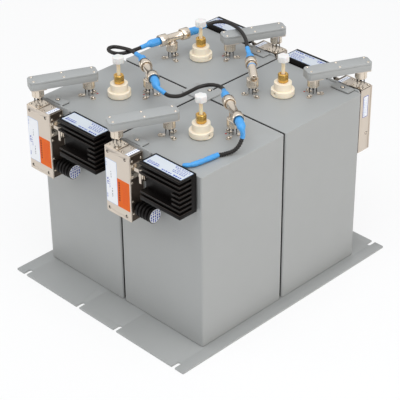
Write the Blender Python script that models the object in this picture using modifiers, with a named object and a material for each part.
"""Four-cavity transmitter combiner on a 19-inch rack panel.

Four square cavity filters stand on a nine-unit rack panel. Each has a tuning rod with its lock nut,
a coaxial bar to an isolator that hangs on the can's outer face with two dummy loads, and a tee on
its output port. Jumper cables join the four tees.

The front pair of cavities faces -Y and the back pair is the same module turned half a turn.
Lengths are in millimetres and become metres where a mesh is made.
"""
import math

import bmesh
import bpy
from mathutils import Matrix, Vector

MM = 0.001

# Clearances
SEAT_GAP = 0.3
RUNNING_GAP = 0.4
FUSE_DEPTH = 1.0

# Rack panel, nine units high, lying flat with its long side along Y
RACK_WIDTH = 482.6
RACK_UNIT = 44.45
PANEL_UNITS = 9
PANEL_PLAY = 0.85
PANEL_THICKNESS = 3.0
SLOT_WIDTH = 7.1
SLOT_END_INSET = 11.5
SLOT_UNITS_FROM_CENTRE = (1, 4)
PANEL_CORNER = 1.2

# Cavity can, a drawn square box that is open at the bottom
CAN_SIDE = 177.8
CAN_GAP = 6.0
CAN_HEIGHT = 308.7
CAN_WALL = 2.0
CAN_CORNER = 4.0
CAN_TOP_EDGE = 1.2
FOOT_HEIGHT = 1.2
FOOT_INSET = 1.1
FOOT_LEDGE = 12.0
FOOT_THICKNESS = 2.7
BLOCK_SHIFT_X = -4.0
BLOCK_SHIFT_Y = 5.0

# Inner conductor and plunger inside each can
RESONATOR_DIAMETER = 50.8
RESONATOR_WALL = 2.0
RESONATOR_LENGTH = 150.0
PLUNGER_DIAMETER = 45.0
PLUNGER_LENGTH = 55.0
PLUNGER_DEPTH = 128.0

# Tuning flange, lock nut, rod and knob on the can's centre
FLANGE_DIAMETER = 38.0
FLANGE_HEIGHT = 9.5
FLANGE_FOOT = 1.5
HUB_DIAMETER = 28.6
HUB_HEIGHT = 12.0
FLANGE_FLAT_DEPTH = 1.8
FLANGE_FLAT_WIDTH = 12.0
FLANGE_FLAT_BEARINGS = {"left": 40.0, "front": 1.0, "right": -97.0, "back": 12.0}
NUT_ACROSS_FLATS = 15.0
NUT_HEIGHT = 14.6
NUT_CHAMFER = 1.0
ROD_DIAMETER = 6.0
ROD_EXPOSED = 22.8
KNOB_DIAMETER = 19.0
KNOB_HEIGHT = 8.6
KNOB_LOBES = 6
KNOB_LOBE_DEPTH = 0.9
KNOB_POINTS_PER_LOBE = 4

# N connectors
PORT_OFFSET = 34.0
JACK_BARREL_DIAMETER = 15.8
JACK_HEIGHT = 16.5
JACK_COLLAR_DIAMETER = 19.0
JACK_COLLAR_HEIGHT = 6.0
JACK_PLATE_DIAMETER = 22.0
JACK_PLATE_THICKNESS = 2.6
EAR_RADIUS = 4.2
EAR_CIRCLE = 13.8
COUPLER_DIAMETER = 20.0
COUPLER_BOTTOM = 15.5
COUPLER_TOP = 29.5
COUPLER_EDGE = 0.8
COUPLER_BORE_CLEARANCE = 0.6
SQUARE_PLATE_SIDE = 25.0
SQUARE_PLATE_THICKNESS = 2.0

# Coaxial link bar from the can's port to the isolator
BAR_BEARING = 244.4
BAR_CENTRES = 83.0
BAR_OVERHANG = 14.0
BAR_WIDTH = 25.4
BAR_BOTTOM = 31.0
BAR_TOP = 45.0
BAR_CHAMFER = 4.0

# Isolator on the can's outer face
ISOLATOR_WIDTH = 54.0
ISOLATOR_HEIGHT = 114.0
ISOLATOR_DEPTH = 27.0
ISOLATOR_COVER = 2.3
ISOLATOR_COVER_LIP = 0.6
ISOLATOR_JACK_INSET = 13.4
INPUT_JACK_LENGTH = 14.0

# Bent bracket between the can and the isolator
BRACKET_THICKNESS = 2.5
BRACKET_LENGTH = 112.0
BRACKET_SIDE_REACH = 13.0
BRACKET_CORNER = 4.0
TAB_WIDTH = 36.0
TAB_DEPTH = 16.5
TAB_SCREW_DIAMETER = 6.6
TAB_SCREW_HEIGHT = 1.8

# Finned main load and ribbed small load beside the isolator
LOAD_LENGTH = 84.5
LOAD_DEPTH = 35.0
LOAD_TOP = 7.0
LOAD_BASE = 10.5
LOAD_FINS = 8
LOAD_FIN_PITCH = 8.12
LOAD_FIN_THICKNESS = 3.2
LOAD_TOP_FIN = 4.6
LOAD_BOTTOM_FIN = 7.2
LOAD_STANDOFF = 26.8
LOAD_PLUG_NECK = 2.0
POCKET_END = 67.5
POCKET_DEPTH = 12.5
POCKET_FIRST_FIN = 3
POCKET_FIN_COUNT = 3
CLIP_THICKNESS = 1.5
CLIP_WIDTH = 5.0
CLIP_REACH = 15.0
CLIP_DROP = 23.0
SMALL_LOAD_DIAMETER = 25.4
SMALL_LOAD_NECK = 14.0
SMALL_LOAD_RINGS = 5
SMALL_LOAD_PITCH = 6.8
SMALL_LOAD_LAND = 4.2
SMALL_LOAD_GROOVE = 3.4
SMALL_LOAD_DROP = 91.0
SMALL_LOAD_STANDOFF = 8.0

# Tees and the plugs on their arms
TEE_BODY_DIAMETER = 13.6
TEE_OPEN_ARM = 25.0
TEE_MOUTH_DIAMETER = 9.0
TEE_MOUTH_DEPTH = 9.0
TEE_PIN_DIAMETER = 3.0
TEE_HEIGHTS = {"front": 44.0, "left": 43.5, "right": 40.5, "back": 38.5}
TEE_BEARINGS = {"front": -32.0, "left": -28.5, "right": -42.0, "back": 79.0}
PLUG_LENGTH = 14.0
PLUG_LIP = 4.0
PLUG_OVERLAP = 9.0
FERRULE_DIAMETER = 11.4

# How far each plug's nut begins from its tee's centre, by tee and side along the tee's bearing
PLUG_STARTS = {
    ("left", -1): 14.5,
    ("left", 1): 15.5,
    ("front", -1): 18.0,
    ("front", 1): 20.5,
    ("back", -1): 11.0,
    ("back", 1): 18.0,
    ("right", -1): 24.0,
}

# Cables
CABLE_DIAMETER = 6.2
BOOT_DIAMETER = 13.4
BOOT_NECK_DIAMETER = 7.6
BOOT_SHOULDER = 17.0
BOOT_TAPER = 6.0
BOOT_LENGTH = 37.0
SLEEVE_DIAMETER = 8.0
CABLE_POINT_SPACING = 15.0

# Tie plate over the meeting corners of the four cans
TIE_LENGTH = 52.0
TIE_WIDTH = 38.0
TIE_THICKNESS = 2.0
TIE_SHIFT_X = -3.5
TIE_SHIFT_Y = 4.0
TIE_SCREW_DIAMETER = 5.6
TIE_SCREW_HEIGHT = 2.0
TIE_SCREW_SPACING = 27.0
TIE_SCREW_X = 2.0

# Facets
BARREL_SIDES = 12
ROUND_SIDES = 16
SCREW_SIDES = 6
EAR_SIDES = 6
SMALL_LOAD_SIDES = 10
CORNER_STEPS = 2

# Derived places
PANEL_HEIGHT = PANEL_UNITS * RACK_UNIT - PANEL_PLAY
PANEL_TOP = PANEL_THICKNESS
CAN_TOP = PANEL_TOP + SEAT_GAP + CAN_HEIGHT
CAN_PITCH = CAN_SIDE + CAN_GAP
CAN_FACE = -CAN_SIDE / 2
PLATE_FRONT = CAN_FACE - SEAT_GAP - BRACKET_THICKNESS
ISOLATOR_BACK = PLATE_FRONT - SEAT_GAP
BAR_DIRECTION = Vector((math.cos(math.radians(BAR_BEARING)), math.sin(math.radians(BAR_BEARING))))
ISOLATOR_JACK_X = -PORT_OFFSET + BAR_DIRECTION.x * BAR_CENTRES
ISOLATOR_JACK_Y = -PORT_OFFSET + BAR_DIRECTION.y * BAR_CENTRES
ISOLATOR_BODY_BACK = ISOLATOR_JACK_Y + ISOLATOR_DEPTH / 2
ISOLATOR_FRONT = ISOLATOR_JACK_Y - ISOLATOR_DEPTH / 2
ISOLATOR_LEFT = ISOLATOR_JACK_X - ISOLATOR_JACK_INSET
ISOLATOR_RIGHT = ISOLATOR_LEFT + ISOLATOR_WIDTH
LOAD_HEIGHT = (LOAD_FINS - 1) * LOAD_FIN_PITCH + (LOAD_TOP_FIN - LOAD_FIN_THICKNESS) + LOAD_BOTTOM_FIN
LOAD_AXIS_Z = LOAD_TOP - LOAD_HEIGHT / 2
LOAD_LEFT = ISOLATOR_RIGHT + LOAD_STANDOFF
NUT_BOTTOM = SEAT_GAP + FLANGE_HEIGHT + HUB_HEIGHT + SEAT_GAP
NUT_TOP = NUT_BOTTOM + NUT_HEIGHT
KNOB_BOTTOM = NUT_TOP + ROD_EXPOSED

# Each module's place on the block, as its sign along X and Y
MODULES = {
    "left": (-1, -1),
    "front": (1, -1),
    "right": (1, 1),
    "back": (-1, 1),
}


def make_collection(name):
    collection = bpy.data.collections.new(name)
    bpy.context.scene.collection.children.link(collection)
    return collection


for stale in list(bpy.data.objects):
    bpy.data.objects.remove(stale, do_unlink=True)

PARTS = make_collection("rf_combiner")
CUTTERS = make_collection("cutters")


def make_material(name, colour, roughness, metallic):
    material = bpy.data.materials.new(name)
    material.use_nodes = True
    shader = material.node_tree.nodes["Principled BSDF"]
    shader.inputs["Base Color"].default_value = (*colour, 1.0)
    shader.inputs["Roughness"].default_value = roughness
    shader.inputs["Metallic"].default_value = metallic
    return material


GREY_PAINT = make_material("grey paint", (0.42, 0.44, 0.46), 0.45, 0.0)
NICKEL = make_material("nickel plate", (0.70, 0.64, 0.55), 0.25, 1.0)
CHAMPAGNE = make_material("champagne nickel", (0.62, 0.54, 0.44), 0.40, 0.8)
BLACK_ANODISE = make_material("black anodise", (0.012, 0.010, 0.010), 0.45, 0.2)
IVORY = make_material("ivory plastic", (0.86, 0.74, 0.55), 0.40, 0.0)
BRASS = make_material("brass", (0.62, 0.42, 0.10), 0.30, 1.0)
WHITE_NYLON = make_material("white nylon", (0.82, 0.80, 0.77), 0.40, 0.0)
BLACK_CABLE = make_material("black cable jacket", (0.020, 0.018, 0.018), 0.50, 0.0)
BLUE_SLEEVE = make_material("blue heat shrink", (0.07, 0.33, 0.75), 0.45, 0.0)


def link(name, mesh, collection=None):
    """Make an object of a mesh in the parts' collection or the one given."""
    obj = bpy.data.objects.new(name, mesh)
    (collection or PARTS).objects.link(obj)
    return obj


def bake(obj):
    """Replace an object with a plain mesh object of its evaluated shape, in world space."""
    bpy.context.view_layer.update()
    graph = bpy.context.evaluated_depsgraph_get()
    mesh = bpy.data.meshes.new_from_object(obj.evaluated_get(graph))
    mesh.transform(obj.matrix_world)
    name = obj.name
    bpy.data.objects.remove(obj, do_unlink=True)
    shape = bmesh.new()
    shape.from_mesh(mesh)
    bmesh.ops.remove_doubles(shape, verts=shape.verts, dist=0.00001)
    bmesh.ops.recalc_face_normals(shape, faces=shape.faces)
    shape.to_mesh(mesh)
    shape.free()
    mesh.materials.clear()
    return link(name, mesh)


def combine(obj, others, operation):
    """Join others to an object, or cut them from it, and use them up."""
    for other in others:
        CUTTERS.objects.link(other)
        PARTS.objects.unlink(other)
        other.hide_render = True
        other.display_type = 'WIRE'
        boolean = obj.modifiers.new(other.name, 'BOOLEAN')
        boolean.operation = operation
        boolean.solver = 'EXACT'
        boolean.object = other
    name = obj.name
    result = bake(obj)
    for other in others:
        bpy.data.objects.remove(other, do_unlink=True)
    result.name = name
    return result


def fuse(obj, *others):
    return combine(obj, others, 'UNION')


def cut(obj, *others):
    return combine(obj, others, 'DIFFERENCE')


def block(name, low, high, edge=0.0):
    """A box between two corners, with its edges chamfered where an edge size is given."""
    shape = bmesh.new()
    bmesh.ops.create_cube(shape, size=1.0)
    size = [(high[i] - low[i]) * MM for i in range(3)]
    centre = [(high[i] + low[i]) / 2 * MM for i in range(3)]
    place_it = Matrix.Translation(centre) @ Matrix.Diagonal((*size, 1.0))
    bmesh.ops.transform(shape, verts=shape.verts, matrix=place_it)
    mesh = bpy.data.meshes.new(name)
    shape.to_mesh(mesh)
    shape.free()
    obj = link(name, mesh)
    if edge:
        bevel = obj.modifiers.new("Chamfer", 'BEVEL')
        bevel.width = edge * MM
        bevel.segments = 1
        obj = bake(obj)
    return obj


def lathe(name, profile, sides, closed=False):
    """Turn a profile of radius and height pairs about Z; its outer side runs from top to bottom."""
    count = len(profile)
    edges = [(i, i + 1) for i in range(count - 1)]
    if closed:
        edges.append((count - 1, 0))
    mesh = bpy.data.meshes.new(name)
    mesh.from_pydata([(radius * MM, 0.0, height * MM) for radius, height in profile], edges, [])
    obj = link(name, mesh)
    screw = obj.modifiers.new("Turn", 'SCREW')
    screw.steps = sides
    screw.render_steps = sides
    screw.use_merge_vertices = True
    screw.merge_threshold = 0.00001
    return bake(obj)


def ring(name, outer, inner, bottom, top, sides):
    """A plain tube about Z between two heights, given by its diameters."""
    profile = [(outer / 2, top), (outer / 2, bottom), (inner / 2, bottom), (inner / 2, top)]
    return lathe(name, profile, sides, closed=True)


def disc(name, diameter, bottom, top, sides):
    """A solid cylinder about Z between two heights."""
    return lathe(name, [(0.0, top), (diameter / 2, top), (diameter / 2, bottom), (0.0, bottom)], sides)


def sheet(name, outline, thickness):
    """A flat outline in XY thickened by equal amounts up and down."""
    curve = bpy.data.curves.new(name, 'CURVE')
    curve.dimensions = '2D'
    curve.fill_mode = 'BOTH'
    curve.extrude = thickness / 2 * MM
    spline = curve.splines.new('POLY')
    spline.points.add(len(outline) - 1)
    for point, (x, y) in zip(spline.points, outline):
        point.co = (x * MM, y * MM, 0.0, 1.0)
    spline.use_cyclic_u = True
    return bake(link(name, curve))


def moved(obj, matrix):
    """Move an object's mesh, given a matrix whose shift is in millimetres."""
    metres = matrix.copy()
    metres.translation = matrix.translation * MM
    obj.data.transform(metres)
    return obj


def at(obj, x, y, z):
    return moved(obj, Matrix.Translation((x, y, z)))


def along(direction):
    """The turn that lays the Z axis along a direction."""
    return Vector(direction).to_track_quat('Z', 'Y').to_matrix().to_4x4()


def arc(centre, radius, start, end, steps):
    """Points on an arc, from a start to an end angle in degrees."""
    points = []
    for i in range(steps + 1):
        angle = math.radians(start + (end - start) * i / steps)
        points.append((centre[0] + radius * math.cos(angle), centre[1] + radius * math.sin(angle)))
    return points


def rounded_rectangle(width, depth, radius, steps):
    x = width / 2 - radius
    y = depth / 2 - radius
    points = []
    for centre, start in (((x, y), 0), ((-x, y), 90), ((-x, -y), 180), ((x, -y), 270)):
        points += arc(centre, radius, start, start + 90, steps)
    return points


def finish(obj, material, angle=35.0):
    """Give a finished mesh its material and shade its round faces smooth."""
    obj.data.materials.append(material)
    obj.data.shade_smooth()
    obj.data.set_sharp_from_angle(angle=math.radians(angle))
    return obj


def make_panel():
    """The rack panel with an open slot for each rail screw."""
    outline = rounded_rectangle(PANEL_HEIGHT, RACK_WIDTH, PANEL_CORNER, 1)
    panel = at(sheet("rack_panel", outline, PANEL_THICKNESS), 0, 0, PANEL_THICKNESS / 2)
    slots = []
    for units in SLOT_UNITS_FROM_CENTRE:
        for side in (-1, 1):
            for end in (-1, 1):
                x = side * units * RACK_UNIT
                y = RACK_WIDTH / 2 - SLOT_END_INSET
                reach = SLOT_END_INSET + FUSE_DEPTH
                half = SLOT_WIDTH / 2
                shape = arc((0, 0), half, 180, 360, 4) + [(half, reach), (-half, reach)]
                slot = sheet("slot", shape, PANEL_THICKNESS + 2 * FUSE_DEPTH)
                turn = Matrix.Rotation(math.pi if end < 0 else 0.0, 4, 'Z')
                slots.append(moved(slot, Matrix.Translation((x, end * y, PANEL_THICKNESS / 2)) @ turn))
    return finish(cut(panel, *slots), GREY_PAINT)


def jack(name, turn):
    """A panel jack on a three-eared plate that rests at height zero; one ear points along the turn."""
    plate_top = JACK_PLATE_THICKNESS
    barrel = JACK_BARREL_DIAMETER / 2
    collar = JACK_COLLAR_DIAMETER / 2
    plate = JACK_PLATE_DIAMETER / 2
    profile = [(0, JACK_HEIGHT), (barrel, JACK_HEIGHT), (barrel, JACK_COLLAR_HEIGHT),
               (collar, JACK_COLLAR_HEIGHT), (collar, plate_top), (plate, plate_top),
               (plate, -FUSE_DEPTH), (0, -FUSE_DEPTH)]
    body = lathe(name, profile, BARREL_SIDES)
    extras = []
    for i in range(3):
        angle = math.radians(turn + 120 * i)
        x = EAR_CIRCLE * math.cos(angle)
        y = EAR_CIRCLE * math.sin(angle)
        ear = disc("ear", 2 * EAR_RADIUS, -FUSE_DEPTH, plate_top - 0.2, EAR_SIDES)
        extras.append(at(ear, x, y, 0))
    return fuse(body, *extras)


def make_can():
    """The can with its inner conductor, foot ring and both port jacks."""
    half = CAN_SIDE / 2
    wall_bottom = -CAN_HEIGHT + FOOT_HEIGHT
    shell = block("cavity_can", (-half, -half, wall_bottom), (half, half, 0))
    shape = bmesh.new()
    shape.from_mesh(shell.data)
    floor = [face for face in shape.faces if face.normal.z < -0.5]
    bmesh.ops.delete(shape, geom=floor, context='FACES')
    upright = [edge for edge in shape.edges if abs(edge.verts[0].co.z - edge.verts[1].co.z) > MM]
    bmesh.ops.bevel(shape, geom=upright, offset=CAN_CORNER * MM, segments=CORNER_STEPS, profile=0.5,
                    affect='EDGES', offset_type='OFFSET')
    rim = [edge for edge in shape.edges if min(vert.co.z for vert in edge.verts) > -0.1 * MM]
    bmesh.ops.bevel(shape, geom=rim, offset=CAN_TOP_EDGE * MM, segments=1, profile=0.5,
                    affect='EDGES', offset_type='OFFSET')
    shape.to_mesh(shell.data)
    shape.free()
    solidify = shell.modifiers.new("Wall", 'SOLIDIFY')
    solidify.thickness = CAN_WALL * MM
    solidify.offset = -1.0
    solidify.use_even_offset = True
    shell = bake(shell)
    foot_side = CAN_SIDE - 2 * FOOT_INSET
    foot = sheet("foot", rounded_rectangle(foot_side, foot_side, CAN_CORNER, 1), FOOT_THICKNESS)
    opening_side = foot_side - 2 * FOOT_LEDGE
    opening = sheet("opening", rounded_rectangle(opening_side, opening_side, CAN_CORNER, 1),
                    FOOT_THICKNESS + 2 * FUSE_DEPTH)
    foot = at(cut(foot, opening), 0, 0, -CAN_HEIGHT + FOOT_THICKNESS / 2)
    conductor = ring("inner conductor", RESONATOR_DIAMETER, RESONATOR_DIAMETER - 2 * RESONATOR_WALL,
                     -RESONATOR_LENGTH, -CAN_WALL / 2, ROUND_SIDES)
    port = at(jack("port jack", 225), -PORT_OFFSET, -PORT_OFFSET, 0)
    output = at(jack("output jack", 45), PORT_OFFSET, PORT_OFFSET, 0)
    can = fuse(shell, foot, conductor, port, output)
    bore = ROD_DIAMETER + 2 * RUNNING_GAP
    rod_hole = disc("rod hole", bore, -CAN_WALL - FUSE_DEPTH, FUSE_DEPTH, BARREL_SIDES)
    return finish(cut(can, rod_hole), GREY_PAINT)


def make_tuning_flange():
    """The two-step flange that guides the rod, with one flat on its rim that faces along X."""
    rim = FLANGE_DIAMETER / 2
    hub = HUB_DIAMETER / 2
    bore = ROD_DIAMETER / 2 + RUNNING_GAP
    step = SEAT_GAP + FLANGE_HEIGHT
    top = step + HUB_HEIGHT
    profile = [(hub, top), (hub, step), (rim, step), (rim, SEAT_GAP), (bore, SEAT_GAP), (bore, top)]
    flange = lathe("tuning_flange", profile, ROUND_SIDES, closed=True)
    half = FLANGE_FLAT_WIDTH / 2
    flat = block("flat", (rim - FLANGE_FLAT_DEPTH, -half, SEAT_GAP + FLANGE_FOOT),
                 (rim + FUSE_DEPTH, half, step + FUSE_DEPTH))
    return finish(cut(flange, flat), IVORY)


def make_lock_nut():
    """The brass hexagon nut that locks the rod."""
    corner = NUT_ACROSS_FLATS / 2 / math.cos(math.pi / 6)
    bore = ROD_DIAMETER / 2 + RUNNING_GAP
    profile = [(corner - NUT_CHAMFER, NUT_TOP), (corner, NUT_TOP - NUT_CHAMFER),
               (corner, NUT_BOTTOM + NUT_CHAMFER), (corner - NUT_CHAMFER, NUT_BOTTOM), (0, NUT_BOTTOM)]
    nut = lathe("lock_nut", [(0, NUT_TOP)] + profile, 6)
    hole = disc("nut bore", 2 * bore, NUT_BOTTOM - FUSE_DEPTH, NUT_TOP + FUSE_DEPTH, BARREL_SIDES)
    return finish(cut(nut, hole), BRASS)


def make_tuning_rod():
    """The rod from the knob down to the plunger inside the inner conductor."""
    rod = ROD_DIAMETER / 2
    plunger = PLUNGER_DIAMETER / 2
    top = -PLUNGER_DEPTH
    bottom = top - PLUNGER_LENGTH
    profile = [(0, KNOB_BOTTOM - SEAT_GAP), (rod, KNOB_BOTTOM - SEAT_GAP), (rod, top), (plunger, top),
               (plunger, bottom), (0, bottom)]
    return finish(lathe("tuning_rod", profile, BARREL_SIDES), IVORY)


def make_knob():
    """The lobed nylon knob, moulded round the top of the rod."""
    points = KNOB_LOBES * KNOB_POINTS_PER_LOBE
    outline = []
    for i in range(points):
        angle = 2 * math.pi * i / points
        radius = KNOB_DIAMETER / 2 - KNOB_LOBE_DEPTH * (0.5 - 0.5 * math.cos(KNOB_LOBES * angle))
        outline.append((radius * math.cos(angle), radius * math.sin(angle)))
    knob = sheet("tuning_knob", outline, KNOB_HEIGHT)
    return finish(at(knob, 0, 0, KNOB_BOTTOM + KNOB_HEIGHT / 2), WHITE_NYLON)


def coupler(name, bottom=COUPLER_BOTTOM, top=COUPLER_TOP):
    """A coupling nut that is fixed to what it hangs from, open below for the jack's barrel."""
    outer = COUPLER_DIAMETER / 2
    bore = JACK_BARREL_DIAMETER / 2 + COUPLER_BORE_CLEARANCE
    ceiling = JACK_HEIGHT + (bottom - COUPLER_BOTTOM) + SEAT_GAP * 2
    profile = [(0, top), (outer, top), (outer, bottom + COUPLER_EDGE), (outer - COUPLER_EDGE, bottom),
               (bore, bottom), (bore, ceiling), (0, ceiling)]
    return lathe(name, profile, BARREL_SIDES)


def make_link_bar():
    """The box-shaped coaxial bar with a plug under each end."""
    length = BAR_CENTRES + 2 * BAR_OVERHANG
    half_length = length / 2
    half_width = BAR_WIDTH / 2
    inset = BAR_CHAMFER

    def outline(shrink):
        x = half_length - shrink
        y = half_width - shrink
        return [(x, y - inset), (x - inset, y), (-x + inset, y), (-x, y - inset),
                (-x, -y + inset), (-x + inset, -y), (x - inset, -y), (x, -y + inset)]

    levels = [(BAR_BOTTOM, 0.0), (BAR_TOP - 0.6, 0.0), (BAR_TOP, 0.6)]
    shape = bmesh.new()
    loops = []
    for height, shrink in levels:
        loops.append([shape.verts.new((x * MM, y * MM, height * MM)) for x, y in outline(shrink)])
    for lower, upper in zip(loops, loops[1:]):
        for i in range(len(lower)):
            j = (i + 1) % len(lower)
            shape.faces.new((lower[i], lower[j], upper[j], upper[i]))
    shape.faces.new(reversed(loops[0]))
    shape.faces.new(loops[-1])
    mesh = bpy.data.meshes.new("link_bar")
    shape.to_mesh(mesh)
    shape.free()
    bar = link("link_bar", mesh)
    plugs = []
    for end in (-1, 1):
        half = SQUARE_PLATE_SIDE / 2
        x = end * BAR_CENTRES / 2
        plate = block("plug plate", (x - half, -half, COUPLER_TOP - 0.2),
                      (x + half, half, BAR_BOTTOM + FUSE_DEPTH))
        plugs += [plate, at(coupler("plug nut", top=COUPLER_TOP + FUSE_DEPTH), x, 0, 0)]
    bar = fuse(bar, *plugs)
    middle = Vector((-PORT_OFFSET, -PORT_OFFSET)) + BAR_DIRECTION * BAR_CENTRES / 2
    turn = Matrix.Rotation(math.radians(BAR_BEARING), 4, 'Z')
    moved(bar, Matrix.Translation((middle.x, middle.y, 0)) @ turn)
    return finish(bar, GREY_PAINT)


def square_jack(name, length=JACK_HEIGHT):
    """A panel jack on a square plate that rests at height zero."""
    half = SQUARE_PLATE_SIDE / 2
    plate = block(name, (-half, -half, -FUSE_DEPTH), (half, half, SQUARE_PLATE_THICKNESS))
    barrel = disc("barrel", JACK_BARREL_DIAMETER, 0, length, BARREL_SIDES)
    return fuse(plate, barrel)


def make_isolator():
    """The isolator's housing with its front cover, back plate and four connectors."""
    left = ISOLATOR_LEFT
    right = ISOLATOR_RIGHT
    bottom = -ISOLATOR_HEIGHT
    lip = ISOLATOR_COVER_LIP
    cover_back = ISOLATOR_FRONT + ISOLATOR_COVER
    body = block("isolator", (left, cover_back - FUSE_DEPTH, bottom), (right, ISOLATOR_BODY_BACK, 0))
    cover = block("cover", (left - lip, ISOLATOR_FRONT, bottom - lip), (right + lip, cover_back, lip), 0.4)
    back = block("back plate", (left + 2, ISOLATOR_BODY_BACK - FUSE_DEPTH, bottom + 2),
                 (right - 2, ISOLATOR_BACK, -2))
    top_jack = at(square_jack("top jack"), ISOLATOR_JACK_X, ISOLATOR_JACK_Y, 0)
    input_jack = moved(square_jack("input jack", INPUT_JACK_LENGTH),
                       Matrix.Translation((ISOLATOR_JACK_X, ISOLATOR_JACK_Y, bottom)) @ along((0, 0, -1)))
    load_jack = moved(square_jack("load jack"),
                      Matrix.Translation((right, ISOLATOR_JACK_Y, LOAD_AXIS_Z)) @ along((1, 0, 0)))
    return finish(fuse(body, cover, back, top_jack, input_jack, load_jack), CHAMPAGNE)


def make_bracket():
    """The bracket: a tab screwed to the can's top, bent down into the isolator's back plate."""
    left = ISOLATOR_LEFT
    right = ISOLATOR_RIGHT + BRACKET_SIDE_REACH
    top = SEAT_GAP + BRACKET_THICKNESS
    corner = BRACKET_CORNER
    outline = [(left, -BRACKET_LENGTH), (right, -BRACKET_LENGTH)]
    outline += arc((right - corner, top - corner), corner, 0, 90, CORNER_STEPS)
    outline += arc((left + corner, top - corner), corner, 90, 180, CORNER_STEPS)
    upright = sheet("isolator_bracket", outline, BRACKET_THICKNESS)
    stand = Matrix.Rotation(math.pi / 2, 4, 'X')
    moved(upright, Matrix.Translation((0, PLATE_FRONT + BRACKET_THICKNESS / 2, 0)) @ stand)
    middle = (left + ISOLATOR_RIGHT) / 2
    tab_end = CAN_FACE + TAB_DEPTH
    tab = block("tab", (middle - TAB_WIDTH / 2, PLATE_FRONT + FUSE_DEPTH, SEAT_GAP),
                (middle + TAB_WIDTH / 2, tab_end, top))
    screw = disc("tab screw", TAB_SCREW_DIAMETER, top - FUSE_DEPTH, top + TAB_SCREW_HEIGHT, SCREW_SIDES)
    return finish(fuse(upright, tab, at(screw, middle, tab_end - TAB_DEPTH / 2, 0)), GREY_PAINT)


def fin_edges(index):
    """The top and bottom heights of one fin of the main load, counted from the top."""
    high = LOAD_TOP
    if index:
        high = LOAD_TOP - (LOAD_TOP_FIN - LOAD_FIN_THICKNESS) - index * LOAD_FIN_PITCH
    thickness = LOAD_FIN_THICKNESS
    if index == 0:
        thickness = LOAD_TOP_FIN
    if index == LOAD_FINS - 1:
        thickness = LOAD_BOTTOM_FIN
    return high, high - thickness


def make_main_load():
    """The finned dummy load: a comb-shaped extrusion with a pocket, its plug and a clip."""
    back = ISOLATOR_BACK
    front = back - LOAD_DEPTH
    root = back - LOAD_BASE
    outline = [(back, LOAD_TOP - LOAD_HEIGHT), (back, LOAD_TOP)]
    for i in range(LOAD_FINS):
        high, low = fin_edges(i)
        if i > 0:
            outline.append((root, high))
        outline += [(front, high), (front, low)]
        if i < LOAD_FINS - 1:
            outline.append((root, low))
    load = sheet("main_load", outline, LOAD_LENGTH)
    stand = Matrix(((0, 0, 1, LOAD_LEFT + LOAD_LENGTH / 2), (1, 0, 0, 0), (0, 1, 0, 0), (0, 0, 0, 1)))
    load = moved(load, stand)
    pocket_top = fin_edges(POCKET_FIRST_FIN - 1)[1] - 0.4
    pocket_bottom = fin_edges(POCKET_FIRST_FIN + POCKET_FIN_COUNT)[0]
    end = LOAD_LEFT + POCKET_END
    floor = front + POCKET_DEPTH
    pocket = block("pocket", (LOAD_LEFT - FUSE_DEPTH, front - FUSE_DEPTH, pocket_bottom + 0.4),
                   (end, floor, pocket_top))
    filler = block("pocket floor", (LOAD_LEFT, floor, pocket_bottom - FUSE_DEPTH),
                   (end, root + FUSE_DEPTH, pocket_top + FUSE_DEPTH))
    nut_top = LOAD_STANDOFF - LOAD_PLUG_NECK
    neck = disc("plug body", COUPLER_DIAMETER - 3.0, nut_top - FUSE_DEPTH, LOAD_STANDOFF + FUSE_DEPTH,
                BARREL_SIDES)
    plug = fuse(coupler("plug", top=nut_top), neck)
    moved(plug, Matrix.Translation((ISOLATOR_RIGHT, ISOLATOR_JACK_Y, LOAD_AXIS_Z)) @ along((1, 0, 0)))
    clip_front = front + 3.5
    clip_back = clip_front + CLIP_THICKNESS
    clip_top = fin_edges(2)[0] - 0.6
    leg = block("clip leg", (LOAD_LEFT - CLIP_WIDTH, clip_front, clip_top - CLIP_DROP),
                (LOAD_LEFT - 0.5, clip_back, clip_top))
    arm = block("clip arm", (LOAD_LEFT - CLIP_REACH, clip_front, clip_top - CLIP_WIDTH - 0.7),
                (LOAD_LEFT + FUSE_DEPTH, clip_back, clip_top - 0.4))
    load = fuse(cut(load, pocket), filler, plug, leg, arm)
    return finish(load, BLACK_ANODISE)


def make_small_load():
    """The small ribbed load, turned from bar, on the isolator's side."""
    land = SMALL_LOAD_DIAMETER / 2
    groove = land - SMALL_LOAD_GROOVE
    neck = SMALL_LOAD_NECK / 2
    start = SMALL_LOAD_STANDOFF
    end = start + (SMALL_LOAD_RINGS - 1) * SMALL_LOAD_PITCH + SMALL_LOAD_LAND
    profile = [(0, end)]
    for i in range(SMALL_LOAD_RINGS):
        high = end - i * SMALL_LOAD_PITCH
        low = high - SMALL_LOAD_LAND
        profile += [(land, high), (land, low)]
        if i < SMALL_LOAD_RINGS - 1:
            profile.append((groove, (low + high - SMALL_LOAD_PITCH) / 2))
    profile += [(neck, start), (neck, SEAT_GAP), (0, SEAT_GAP)]
    load = lathe("small_load", profile, SMALL_LOAD_SIDES)
    moved(load, Matrix.Translation((ISOLATOR_RIGHT, ISOLATOR_JACK_Y, -SMALL_LOAD_DROP)) @ along((1, 0, 0)))
    return finish(load, BLACK_ANODISE)


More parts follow.
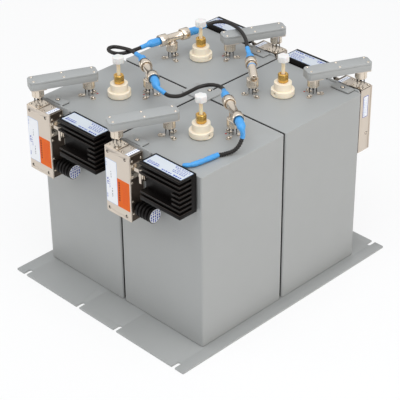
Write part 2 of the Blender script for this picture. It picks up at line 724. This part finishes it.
def make_tee(name):
    """A tee over a module's output port; an arm with no plug ends in an open mouth."""
    body = TEE_BODY_DIAMETER
    height = TEE_HEIGHTS[name]
    stem = disc("tee", body - 1.6, COUPLER_TOP - FUSE_DEPTH, height, BARREL_SIDES)
    reach = {}
    for side in (-1, 1):
        reach[side] = PLUG_STARTS.get((name, side), TEE_OPEN_ARM - PLUG_OVERLAP) + PLUG_OVERLAP
    arms = disc("arms", body, -reach[-1], reach[1], BARREL_SIDES)
    if (name, 1) not in PLUG_STARTS:
        end = reach[1]
        mouth = disc("mouth", TEE_MOUTH_DIAMETER, end - TEE_MOUTH_DEPTH, end + FUSE_DEPTH, BARREL_SIDES)
        pin = disc("pin", TEE_PIN_DIAMETER, end - TEE_MOUTH_DEPTH - FUSE_DEPTH, end - 1.5, EAR_SIDES)
        arms = fuse(cut(arms, mouth), pin)
    moved(arms, Matrix.Translation((0, 0, height)) @ along((1, 0, 0)))
    tee = fuse(coupler("base nut"), stem, arms)
    tee.name = "tee"
    moved(tee, Matrix.Rotation(math.radians(TEE_BEARINGS[name] - module_turn(name)), 4, 'Z'))
    return finish(tee, NICKEL)


def make_coupling_nut():
    """The turning nut of a cable plug, along X from its near end."""
    outer = COUPLER_DIAMETER / 2
    wide = TEE_BODY_DIAMETER / 2 + 1.4
    narrow = FERRULE_DIAMETER / 2 + RUNNING_GAP
    edge = COUPLER_EDGE
    profile = [(outer - edge, PLUG_LENGTH), (outer, PLUG_LENGTH - edge), (outer, 0), (wide, 0),
               (wide, PLUG_LENGTH - PLUG_LIP), (narrow, PLUG_LENGTH - PLUG_LIP), (narrow, PLUG_LENGTH)]
    nut = lathe("coupling_nut", profile, BARREL_SIDES, closed=True)
    moved(nut, along((1, 0, 0)))
    return finish(nut, NICKEL)


def place(source, name, module, local=(0, 0, 0), turn=0.0):
    """Put a copy of a finished mesh on a module's empty."""
    obj = bpy.data.objects.new(name, source.data)
    PARTS.objects.link(obj)
    obj.parent = module
    obj.location = [value * MM for value in local]
    obj.rotation_euler = (0, 0, math.radians(turn))
    return obj


def module_turn(name):
    """The front pair of modules stands unturned, and the back pair is turned half a turn."""
    return 90.0 * (1 + MODULES[name][1])


def module_centre(name):
    sign_x, sign_y = MODULES[name]
    return Vector((BLOCK_SHIFT_X + sign_x * CAN_PITCH / 2, BLOCK_SHIFT_Y + sign_y * CAN_PITCH / 2, CAN_TOP))


def output_place(name):
    """The centre of a module's tee in world millimetres."""
    turn = Matrix.Rotation(math.radians(module_turn(name)), 4, 'Z')
    return module_centre(name) + turn @ Vector((PORT_OFFSET, PORT_OFFSET, TEE_HEIGHTS[name]))


def arm_point(name, side, distance, drop=0.0):
    """A point along a tee's arm, on the side given by a sign, in world millimetres."""
    angle = math.radians(TEE_BEARINGS[name])
    direction = Vector((math.cos(angle), math.sin(angle), 0)) * side
    return output_place(name) + direction * distance - Vector((0, 0, drop))


class Route:
    """A smooth curve through a route's points, read by the distance along it."""

    def __init__(self, points):
        ends = [points[0] * 2 - points[1]] + list(points) + [points[-1] * 2 - points[-2]]
        self.points = [points[0]]
        for a, b, c, d in zip(ends, ends[1:], ends[2:], ends[3:]):
            for i in range(1, 17):
                t = i / 16
                self.points.append(0.5 * (2 * b + (c - a) * t + (2 * a - 5 * b + 4 * c - d) * t * t
                                          + (3 * b - a - 3 * c + d) * t ** 3))
        self.distances = [0.0]
        for p, q in zip(self.points, self.points[1:]):
            self.distances.append(self.distances[-1] + (q - p).length)
        self.total = self.distances[-1]

    def at(self, distance):
        for i in range(len(self.points) - 1):
            if distance <= self.distances[i + 1]:
                share = (distance - self.distances[i]) / (self.distances[i + 1] - self.distances[i])
                return self.points[i].lerp(self.points[i + 1], share)
        return self.points[-1]

    def even_stops(self, spacing):
        count = max(2, round(self.total / spacing))
        return [self.total * i / count for i in range(count + 1)]


def boot_radius(distance):
    """The outer radius of a plug's ferrule, boot and cable at a distance from the plug's end."""
    wide = BOOT_DIAMETER / 2
    neck = BOOT_NECK_DIAMETER / 2
    if distance <= BOOT_SHOULDER:
        return wide
    if distance < BOOT_SHOULDER + BOOT_TAPER:
        return wide + (neck - wide) * (distance - BOOT_SHOULDER) / BOOT_TAPER
    if distance < BOOT_LENGTH:
        return neck
    return CABLE_DIAMETER / 2


BOOT_STOPS = (BOOT_SHOULDER / 2, BOOT_SHOULDER, BOOT_SHOULDER + BOOT_TAPER,
              (BOOT_SHOULDER + BOOT_TAPER + BOOT_LENGTH) / 2, BOOT_LENGTH - 0.1, BOOT_LENGTH + 0.1)


def make_cable(name, points, booted_ends, material):
    """A cable along a route, with a plug ferrule and boot at each booted end."""
    route = Route(points)
    total = route.total
    inner = PLUG_LIP + SEAT_GAP - 0.2
    marks = {}
    for distance in route.even_stops(CABLE_POINT_SPACING):
        clear_start = "start" not in booted_ends or distance > inner + BOOT_LENGTH + 2
        clear_end = "end" not in booted_ends or total - distance > inner + BOOT_LENGTH + 2
        if clear_start and clear_end:
            marks[distance] = CABLE_DIAMETER / 2
    ferrule = FERRULE_DIAMETER / 2
    for end in booted_ends:
        stops = [(0.0, ferrule), (inner, ferrule), (inner + 0.1, BOOT_DIAMETER / 2)]
        stops += [(inner + stop, boot_radius(stop)) for stop in BOOT_STOPS]
        for distance, radius in stops:
            marks[distance if end == "start" else total - distance] = radius
    curve = bpy.data.curves.new(name, 'CURVE')
    curve.dimensions = '3D'
    curve.bevel_depth = MM
    curve.bevel_resolution = 2
    curve.use_fill_caps = True
    curve.twist_mode = 'MINIMUM'
    order = sorted(marks)
    spline = curve.splines.new('POLY')
    spline.points.add(len(order) - 1)
    for point, distance in zip(spline.points, order):
        point.co = (*(route.at(distance) * MM), 1.0)
        point.radius = marks[distance]
    return finish(bake(link(name, curve)), material, 50.0)


def make_sleeve(name, points):
    """The heat-shrink sleeve over the stub's end."""
    route = Route(points)
    stops = route.even_stops(CABLE_POINT_SPACING)
    curve = bpy.data.curves.new(name, 'CURVE')
    curve.dimensions = '3D'
    curve.bevel_depth = SLEEVE_DIAMETER / 2 * MM
    curve.bevel_resolution = 2
    curve.use_fill_caps = True
    curve.twist_mode = 'MINIMUM'
    spline = curve.splines.new('POLY')
    spline.points.add(len(stops) - 1)
    for point, distance in zip(spline.points, stops):
        point.co = (*(route.at(distance) * MM), 1.0)
    return finish(bake(link(name, curve)), BLUE_SLEEVE, 50.0)


def make_tie_plate():
    """The plate that clamps the four cans together where their corners meet."""
    outline = rounded_rectangle(TIE_LENGTH, TIE_WIDTH, 3.0, 2)
    plate = at(sheet("tie_plate", outline, TIE_THICKNESS), 0, 0, TIE_THICKNESS / 2)
    screws = []
    for side in (-1, 1):
        top = TIE_THICKNESS + TIE_SCREW_HEIGHT
        screw = disc("tie screw", TIE_SCREW_DIAMETER, TIE_THICKNESS / 2, top, EAR_SIDES)
        screws.append(at(screw, TIE_SCREW_X - TIE_SHIFT_X, side * TIE_SCREW_SPACING / 2, 0))
    return finish(fuse(plate, *screws), GREY_PAINT)


def block_point(x, y, height):
    """A point given from the middle of the four cans and their top, in world millimetres."""
    return Vector((BLOCK_SHIFT_X + x, BLOCK_SHIFT_Y + y, CAN_TOP + height))


make_panel()

SOURCES = {
    "cavity_can": make_can(),
    "tuning_flange": make_tuning_flange(),
    "lock_nut": make_lock_nut(),
    "tuning_rod": make_tuning_rod(),
    "tuning_knob": make_knob(),
    "link_bar": make_link_bar(),
    "isolator": make_isolator(),
    "isolator_bracket": make_bracket(),
    "main_load": make_main_load(),
    "small_load": make_small_load(),
}

for module_name in MODULES:
    turn = module_turn(module_name)
    empty = bpy.data.objects.new("module_" + module_name, None)
    PARTS.objects.link(empty)
    empty.location = module_centre(module_name) * MM
    empty.rotation_euler = (0, 0, math.radians(turn))
    for part_name, source in SOURCES.items():
        own_turn = 0.0
        if part_name == "tuning_flange":
            own_turn = FLANGE_FLAT_BEARINGS[module_name] - turn
        place(source, part_name + "_" + module_name, empty, turn=own_turn)
    tee = make_tee(module_name)
    place(tee, "tee_" + module_name, empty, (PORT_OFFSET, PORT_OFFSET, 0))
    bpy.data.objects.remove(tee, do_unlink=True)

for source in SOURCES.values():
    bpy.data.objects.remove(source, do_unlink=True)

# Each cable plug: its tee and the arm it is on, as a sign along the tee's bearing
PLUGS = {
    "coupling_nut_left_upper": ("left", -1),
    "coupling_nut_left_lower": ("left", 1),
    "coupling_nut_front_upper": ("front", -1),
    "coupling_nut_front_lower": ("front", 1),
    "coupling_nut_back_left": ("back", -1),
    "coupling_nut_back_right": ("back", 1),
    "coupling_nut_right_upper": ("right", -1),
}

coupling_nut = make_coupling_nut()
for plug_name, (tee_name, side) in PLUGS.items():
    bearing = TEE_BEARINGS[tee_name] + (180.0 if side < 0 else 0.0)
    nut = bpy.data.objects.new(plug_name, coupling_nut.data)
    PARTS.objects.link(nut)
    nut.location = arm_point(tee_name, side, PLUG_STARTS[tee_name, side]) * MM
    nut.rotation_euler = (0, 0, math.radians(bearing))
bpy.data.objects.remove(coupling_nut, do_unlink=True)


def plug_lead(name, side, droop=0.0):
    """Route points from inside a plug's nut to the end of its boot, which may droop a little."""
    start = PLUG_STARTS[name, side] + PLUG_LENGTH - PLUG_LIP + 0.2
    return [arm_point(name, side, start), arm_point(name, side, start + 4),
            arm_point(name, side, start + 8), arm_point(name, side, start + 12),
            arm_point(name, side, start + 24, droop)]


make_cable("jumper_loop", plug_lead("back", -1) + [
    block_point(-137, -9, 37.5), block_point(-141, -28, 37), block_point(-149, -41, 37),
    block_point(-161, -44, 37.5), block_point(-171, -39, 38.5), block_point(-173, -30, 40),
    block_point(-165, -23, 42), block_point(-147, -23, 43.5), block_point(-128, -28, 44)]
    + plug_lead("left", -1)[::-1], ("start", "end"), BLACK_CABLE)

make_cable("jumper_wave", plug_lead("left", 1, 4.0) + [
    block_point(-4, -80, 35), block_point(6, -76, 30), block_point(13, -60, 26),
    block_point(14, -38, 26), block_point(15, -20, 27), block_point(25, -8, 30),
    block_point(41, -6, 34), block_point(60, -12, 38)]
    + plug_lead("front", -1)[::-1], ("start", "end"), BLACK_CABLE)

make_cable("jumper_arc", plug_lead("back", 1) + [
    block_point(-113, 128, 42), block_point(-107, 142, 44), block_point(-96, 149, 46),
    block_point(-80, 149, 48), block_point(-55, 142, 50), block_point(-32, 130, 51),
    block_point(-14, 118, 50), block_point(4, 103, 46)]
    + plug_lead("right", -1)[::-1], ("start", "end"), BLACK_CABLE)

make_cable("stub_cable", plug_lead("front", 1, 4.0) + [
    block_point(172, -85, 28), block_point(171, -91, 15), block_point(167, -99, 6.5),
    block_point(161, -111, 3.8), block_point(157.2, -120, 3.8)],
    ("start",), BLACK_CABLE)

make_sleeve("stub_sleeve", [
    block_point(156.4, -121.6, 4.7), block_point(155, -136, 4.7), block_point(153, -151, 4.7),
    block_point(150, -166, 4.7), block_point(145, -174, 4.7), block_point(139, -178, 4.7)])

tie = make_tie_plate()
tie.location = block_point(TIE_SHIFT_X, TIE_SHIFT_Y, SEAT_GAP) * MM
